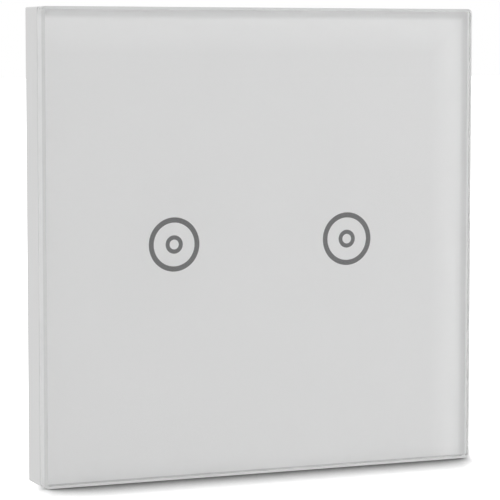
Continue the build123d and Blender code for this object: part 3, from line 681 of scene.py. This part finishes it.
def dress(node: str, material: bpy.types.Material) -> None:
    """Give a CAD node a better material.

    Args:
        node: The node's name.
        material: What it gets in each of its slots.
    """
    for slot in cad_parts[node].material_slots:
        slot.material = material
    LOG.info("dressed %s with %s", node, material.name)


def join_body(piece: bpy.types.Object, body: str, slot: str, *nodes: str) -> None:
    """Let a new piece ride on a body and stand for its CAD nodes.

    Args:
        piece: The new piece.
        body: The body that it rides on.
        slot: The name of a material slot. Not used.
        nodes: The nodes that it stands for.
    """
    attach(piece, body)
    if nodes:
        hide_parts(*nodes)
    LOG.info("built %s on %s", piece.name, body)


# Sub-assemblies
@dataclass
class GlassFront:
    """The front that pulls off: glass, print, touch rings, tape and carrier."""

    half: float = 43.0 * MM
    corner: float = 0.9 * MM
    arris: float = 0.5 * MM
    back_arris: float = 0.3 * MM
    front: float = -10.0 * MM
    back: float = -6.985 * MM
    corner_steps: int = 12
    glass: ClearGlass = ClearGlass("clear_glass", (0.996, 0.999, 0.998))
    # the arris has painted shade along its top
    ground: GroundEdge = GroundEdge("ground_arris_painted_top_shade", (0.665, 0.67, 0.668), 0.35, 0.87)
    side: GroundEdge = GroundEdge("ground_side", (0.86, 0.865, 0.863), 0.7)
    # the enamel has painted light and shade along its edges
    enamel: Enamel = Enamel("white_enamel", (0.896, 0.896, 0.896))
    ink: Moulded = Moulded("mark_grey", (0.15, 0.15, 0.152), 0.5, grain_depth=0.001 * MM,
                           drift=0.08)
    tape: Moulded = Moulded("white_tape", (0.84, 0.84, 0.82), 0.7, Grain.CELLS, 0.3 * MM,
                            0.04 * MM)
    plastic: Moulded = Moulded("white_plastic", (0.685, 0.685, 0.683), 0.42)

    def build_glass(self) -> bpy.types.Object:
        """Build the plate.

        A ring of the plate is centre + (radius - inset) * direction, at one depth. A ground arris
        runs in from the front and a smaller one from the back, at 45 degrees, with the ground side
        between them.

        Returns:
            The plate.
        """
        centre, direction = rounded_square(self.half, self.corner, self.corner_steps)
        inset = np.array([self.arris, 0, 0, self.back_arris])
        depth = np.array([self.front, self.front + self.arris, self.back - self.back_arris,
                          self.back])
        flat = centre[None] + (self.corner - inset)[:, None, None] * direction[None]
        y = np.broadcast_to(depth[:, None], flat.shape[:2])
        plate = skin("front_glass", np.stack([flat[..., 0], y, flat[..., 1]], -1)[:, ::-1])
        finishes = [self.glass, self.ground, self.side]
        for finish in finishes:
            plate.data.materials.append(finish.material())
        slot = np.full(len(plate.data.polygons), finishes.index(self.glass), np.int32)
        bands = len(depth) - 1
        slot[:bands * len(centre)] = finishes.index(self.side)
        slot[:len(centre)] = finishes.index(self.ground)
        plate.data.polygons.foreach_set("material_index", slot)
        return plate

    def build(self) -> None:
        """Build the glass, and dress what lies behind it."""
        join_body(self.build_glass(), "front_panel", "clear_glass", "glass_panel")
        dress("panel_print", self.enamel.material())
        ink = self.ink.material()
        for side in Side:
            dress(f"symbol_ring_{side.value}", ink)
        dress("bonding_tape", self.tape.material())
        dress("panel_frame", self.plastic.material())


@dataclass
class BackFrame:
    """What stays on the wall: the mounting frame, the rear housing and their screws."""

    plastic: Moulded = Moulded("frame_plastic", (0.685, 0.685, 0.682), 0.42)
    housing: Moulded = Moulded("housing_plastic", (0.665, 0.665, 0.655), 0.5,
                               grain_size=0.5 * MM, grain_depth=0.03 * MM)
    screws: Metal = Metal("zinc_screws", (0.64, 0.65, 0.68), 0.28)

    def build(self) -> None:
        """Dress the frame, the housing and the screws."""
        dress("mounting_frame", self.plastic.material())
        dress("rear_housing", self.housing.material())
        zinc = self.screws.material()
        dress("housing_screws", zinc)
        dress("board_screws", zinc)


@dataclass
class TouchBoard:
    """The board behind the glass, with its springs, lamps, light guides and plug."""

    board: Circuit = Circuit("touch_board_mask", (0.03, 0.20, 0.09), (0.08, 0.34, 0.16))
    spring: Metal = Metal("spring_steel", (0.72, 0.71, 0.68), 0.2)
    guide: Moulded = Moulded("clear_guide", (0.93, 0.95, 0.96), 0.12, grain_depth=0.001 * MM,
                             clear=0.85)
    lamp: Moulded = Moulded("lamp_lens", (0.92, 0.89, 0.78), 0.25, grain_depth=0.001 * MM)
    chip: Moulded = Moulded("chip_epoxy", (0.035, 0.035, 0.04), 0.55, grain_depth=0.008 * MM,
                            drift=0.15)

    def build(self) -> None:
        """Dress the board and what stands on it."""
        dress("touch_board", self.board.material())
        spring = self.spring.material()
        guide = self.guide.material()
        lamp = self.lamp.material()
        for side in Side:
            dress(f"touch_spring_{side.value}", spring)
            dress(f"light_guide_{side.value}", guide)
            dress(f"status_led_{side.value}", lamp)
        epoxy = self.chip.material()
        for node in ("touch_controller", "board_header", "board_socket"):
            dress(node, epoxy)


@dataclass
class PowerBoard:
    """The board that feeds the switch from the mains."""

    finishes: dict[str, object] = field(default_factory=lambda: {
        "power_board": Circuit("power_board_mask", (0.04, 0.24, 0.10), (0.10, 0.38, 0.18),
                               patch=8.0 * MM, pitch=1.6 * MM),
        "film_capacitor": Moulded("film_box", (0.78, 0.58, 0.09), 0.32),
        "surge_varistor": Moulded("varistor_coat", (0.05, 0.16, 0.46), 0.3,
                                  grain_size=0.8 * MM, grain_depth=0.02 * MM),
        "fuse": Moulded("fuse_box", (0.20, 0.11, 0.06), 0.4),
        "transformer_core": Moulded("ferrite", (0.09, 0.09, 0.095), 0.6, grain_depth=0.03 * MM,
                                    drift=0.2),
        "transformer_winding": Wound("winding_tape", (0.80, 0.62, 0.14), 0.0, 1.6 * MM),
        "bridge_rectifier": Moulded("rectifier_epoxy", (0.035, 0.035, 0.04), 0.5, drift=0.15),
        "supply_controller": Moulded("controller_epoxy", (0.04, 0.04, 0.045), 0.55, drift=0.15),
        "relay_drivers": Moulded("driver_epoxy", (0.04, 0.04, 0.045), 0.55, drift=0.15),
        "contact_bars": Metal("tinned_brass", (0.74, 0.70, 0.60), 0.34, stretch=(12, 1, 1)),
    })
    cans: tuple[str, ...] = ("supply_capacitor", "filter_capacitor")
    sleeve: tuple[float, float, float] = (0.05, 0.05, 0.06)
    can_metal: tuple[float, float, float] = (0.80, 0.80, 0.81)

    def build(self) -> None:
        """Dress the board and its parts. A can's bare end faces the touch board."""
        for node, finish in self.finishes.items():
            dress(node, finish.material())
        for node in self.cans:
            low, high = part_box(node)
            middle = ((low[0] + high[0]) / 2, (low[2] + high[2]) / 2)
            can = Can(f"{node}_can", self.sleeve, self.can_metal, middle, low[1])
            dress(node, can.material())


@dataclass
class Relay:
    """One relay: case, spool, coil, yoke, armature and contacts."""

    side: Side
    case: Moulded = Moulded("relay_case", (0.05, 0.20, 0.52), 0.25)
    base: Moulded = Moulded("relay_base", (0.05, 0.05, 0.05), 0.5, drift=0.15)
    spool: Moulded = Moulded("spool_nylon", (0.84, 0.82, 0.72), 0.45)
    wire: Wound = Wound("coil_wire", (0.72, 0.34, 0.18))
    iron: Metal = Metal("relay_iron", (0.58, 0.57, 0.55), 0.32)
    bronze: Metal = Metal("contact_bronze", (0.78, 0.60, 0.40), 0.26)

    def build(self) -> None:
        """Dress every piece of the relay."""
        finishes = {"case": self.case, "base": self.base, "bobbin": self.spool,
                    "coil": self.wire, "yoke": self.iron, "contacts": self.bronze,
                    "armature": self.iron, "contact_spring": self.bronze}
        for part, finish in finishes.items():
            dress(f"relay_{part}_{self.side.value}", finish.material())


@dataclass
class Terminals:
    """The block with its clamp cages and screws."""

    count: int = 4
    block: Moulded = Moulded("terminal_polyamide", (0.50, 0.51, 0.52), 0.45)
    cage: Metal = Metal("cage_steel", (0.62, 0.63, 0.65), 0.32)
    screw: Threaded = Threaded("screw_steel", (0.66, 0.67, 0.69))

    def build(self) -> None:
        """Dress the block, the cages and the screws."""
        dress("terminal_block", self.block.material())
        cage, screw = self.cage.material(), self.screw.material()
        for number in range(1, self.count + 1):
            dress(f"terminal_cage_{number}", cage)
            dress(f"terminal_screw_{number}", screw)


@dataclass
class Softbox:
    """A large lamp aimed at the object."""

    name: str
    place: tuple[float, float, float]
    size: tuple[float, float]
    power: float

    def build(self) -> None:
        """Hang the lamp."""
        lamp = bpy.data.lights.new(self.name, "AREA")
        lamp.shape = "RECTANGLE"
        lamp.size, lamp.size_y = self.size
        lamp.energy = self.power
        obj = bpy.data.objects.new(self.name, lamp)
        obj.location = self.place
        obj.rotation_euler = (-Vector(self.place)).to_track_quat("-Z", "Y").to_euler()
        bpy.context.scene.collection.objects.link(obj)


@dataclass
class Studio:
    """The floor, the sky, the lamps and the camera."""

    floor_half: float = 6.0
    floor_top: float = -43 * MM
    floor_drop: float = 0.03 * MM
    floor_colour: float = 0.10
    floor_glow: float = 0.82
    mirrored_glow: float = 0.88
    fibre: float = 2 * MM
    fibre_lift: float = 0.01
    seen_colour: float = 0.90
    seen_glow: float = 0.32
    # painted contact shadow: how far it reaches, how dark it gets and where its ends fade out
    painted_contact_reach: float = 14.0 * MM
    contact_samples: int = 16
    painted_contact_from: float = 0.5
    painted_contact_shade: float = 0.10
    painted_shadow_line: tuple[float, float, float] = (0.917, -0.398, 0.0)
    painted_shadow_start: tuple[float, float] = (-38.5 * MM, -33.8 * MM)
    painted_shadow_end: tuple[float, float] = (41.2 * MM, 45.2 * MM)
    # painted light that lifts the real shade past the shadow's ends
    painted_end_glow: float = 0.6
    sky: float = 0.965
    sky_slope: float = 0.18
    lens: float = 174.9
    sensor: float = 36.0
    nearest: float = 0.01
    eye: tuple[float, float, float] = (-0.1802, -0.4177, 0.0352)
    sight: tuple[float, float, float] = (0.3969, 0.9142, -0.0819)
    up: tuple[float, float, float] = (0.0327, 0.0753, 0.9966)
    lamps: list[Softbox] = field(default_factory=lambda: [
        Softbox("overhead", (0.0, -0.3, 1.6), (1.6, 1.6), 3.0),
        Softbox("right", (0.5, -0.35, 0.1), (0.3, 0.4), 1.4),
    ])

    def build_floor(self) -> None:
        """Lay the floor, white to the camera, with a tight painted contact shadow under the object.
        """
        half, z = self.floor_half, self.floor_top - self.floor_drop
        corners = [(-half, -half, z), (half, -half, z), (half, half, z), (-half, half, z)]
        mesh = bpy.data.meshes.new("floor")
        mesh.from_pydata(corners, [], [(0, 1, 2, 3)])
        floor = bpy.data.objects.new("floor", mesh)
        bpy.context.scene.collection.objects.link(floor)
        mesh.materials.append(self.floor_material())

    def floor_material(self) -> bpy.types.Material:
        """Make the floor's paper.

        The painted contact shadow ends where the photographed one does, measured across the line
        of sight.
        Glossy and transmission rays see the floor about white, and so do the glass and the metal.

        Returns:
            The finished material.
        """
        tree = Tree("floor_paper_painted_shadow")
        # painted contact shadow: ambient occlusion darkens the floor near the object, for camera
        # rays only
        near = tree.add("AmbientOcclusion", {"Distance": self.painted_contact_reach},
                        samples=self.contact_samples)
        painted_shadow_level = tree.span(near.outputs["AO"], self.painted_contact_shade, 1.0, self.painted_contact_from, 1.0)
        across = {0: tree.place(), 1: self.painted_shadow_line}
        along = tree.add("VectorMath", across, operation="DOT_PRODUCT").outputs["Value"]
        past_ends = tree.math("MAXIMUM", tree.span(along, 1.0, 0.0, *self.painted_shadow_start),
                              tree.span(along, 0.0, 1.0, *self.painted_shadow_end))
        # painted shadow: the floor's light level, cut near the object except past the shadow's ends
        light = tree.math("MAXIMUM", painted_shadow_level, past_ends)
        seen_with_painted_shadow = tree.blend(light, (0, 0, 0), (self.seen_colour,) * 3)
        # painted light past the shadow's ends, on top of the even white glow
        bright = tree.math("MULTIPLY_ADD", past_ends, self.painted_end_glow, self.seen_glow)
        fibre = tree.blend(tree.noise(self.fibre), (self.floor_colour,) * 3,
                           (self.floor_colour + self.fibre_lift,) * 3)
        rays = tree.add("LightPath").outputs
        mirrored = tree.math("MAXIMUM", rays["Is Glossy Ray"], rays["Is Transmission Ray"])
        glow = tree.span(mirrored, self.floor_glow, self.mirrored_glow)
        sides = {1: self.paper(tree, fibre, glow),
                 2: self.paper(tree, seen_with_painted_shadow, tree.math("MULTIPLY", light, bright))}
        choice = tree.add("MixShader", {"Fac": rays["Is Camera Ray"], **sides})
        tree.links.new(choice.outputs[0], tree.output.inputs["Surface"])
        return tree.material

    @staticmethod
    def paper(tree: Tree, colour: bpy.types.NodeSocket, glow: object) -> bpy.types.NodeSocket:
        """A matt surface that also glows a little.

        Args:
            tree: The material's tree.
            colour: The matt colour.
            glow: How strongly it glows.

        Returns:
            The surface.
        """
        matt = tree.add("BsdfDiffuse", {"Color": colour})
        lit = tree.add("Emission", {"Color": (1, 1, 1, 1), "Strength": glow})
        return tree.add("AddShader", {0: matt.outputs[0], 1: lit.outputs[0]}).outputs[0]

    def build_sky(self) -> None:
        """Light everything almost evenly, a little more from the right.

        Camera, glossy and transmission rays see plain white instead.
        """
        world = bpy.data.worlds.new("sky")
        world.use_nodes = True
        nodes, links = world.node_tree.nodes, world.node_tree.links
        path = nodes.new("ShaderNodeLightPath")
        strength = nodes.new("ShaderNodeMapRange")
        coordinates = nodes.new("ShaderNodeTexCoord")
        split = nodes.new("ShaderNodeSeparateXYZ")
        slope = nodes.new("ShaderNodeMapRange")
        slope.inputs["From Min"].default_value = -1.0
        slope.inputs["From Max"].default_value = 1.0
        slope.inputs["To Min"].default_value = self.sky * (1 - self.sky_slope)
        slope.inputs["To Max"].default_value = self.sky * (1 + self.sky_slope)
        links.new(coordinates.outputs["Generated"], split.inputs["Vector"])
        links.new(split.outputs["X"], slope.inputs["Value"])
        links.new(slope.outputs["Result"], strength.inputs["To Min"])
        strength.inputs["To Max"].default_value = 1.0
        white = path.outputs["Is Camera Ray"]
        for ray in ("Is Glossy Ray", "Is Transmission Ray"):
            either = nodes.new("ShaderNodeMath")
            either.operation = "MAXIMUM"
            links.new(white, either.inputs[0])
            links.new(path.outputs[ray], either.inputs[1])
            white = either.outputs[0]
        links.new(white, strength.inputs["Value"])
        background = nodes["Background"]
        background.inputs["Color"].default_value = (1, 1, 1, 1)
        links.new(strength.outputs["Result"], background.inputs["Strength"])
        bpy.context.scene.world = world

    def build_camera(self) -> None:
        """Stand the camera where the photograph was taken from."""
        sight, up = Vector(self.sight).normalized(), Vector(self.up)
        right = sight.cross(up).normalized()
        camera = bpy.data.cameras.new("camera")
        camera.lens = self.lens
        camera.sensor_width = self.sensor
        camera.clip_start = self.nearest
        obj = bpy.data.objects.new("camera", camera)
        turn = Matrix((right, right.cross(sight), -sight)).transposed().to_4x4()
        obj.matrix_world = Matrix.Translation(self.eye) @ turn
        bpy.context.scene.collection.objects.link(obj)
        bpy.context.scene.camera = obj

    def build(self) -> None:
        """Set the whole studio up."""
        self.build_camera()
        self.build_floor()
        self.build_sky()
        for lamp in self.lamps:
            lamp.build()
        bpy.context.scene.view_settings.view_transform = "Standard"


def main() -> None:
    """Build the studio and each sub-assembly in turn."""
    logging.basicConfig(level=logging.INFO, format="%(message)s")
    assemblies = [Studio(), GlassFront(), BackFrame(), TouchBoard(), PowerBoard(),
                  Relay(Side.LEFT), Relay(Side.RIGHT), Terminals()]
    for assembly in assemblies:
        LOG.info("building %s", type(assembly).__name__)
        assembly.build()


if __name__ == "__main__":
    main()
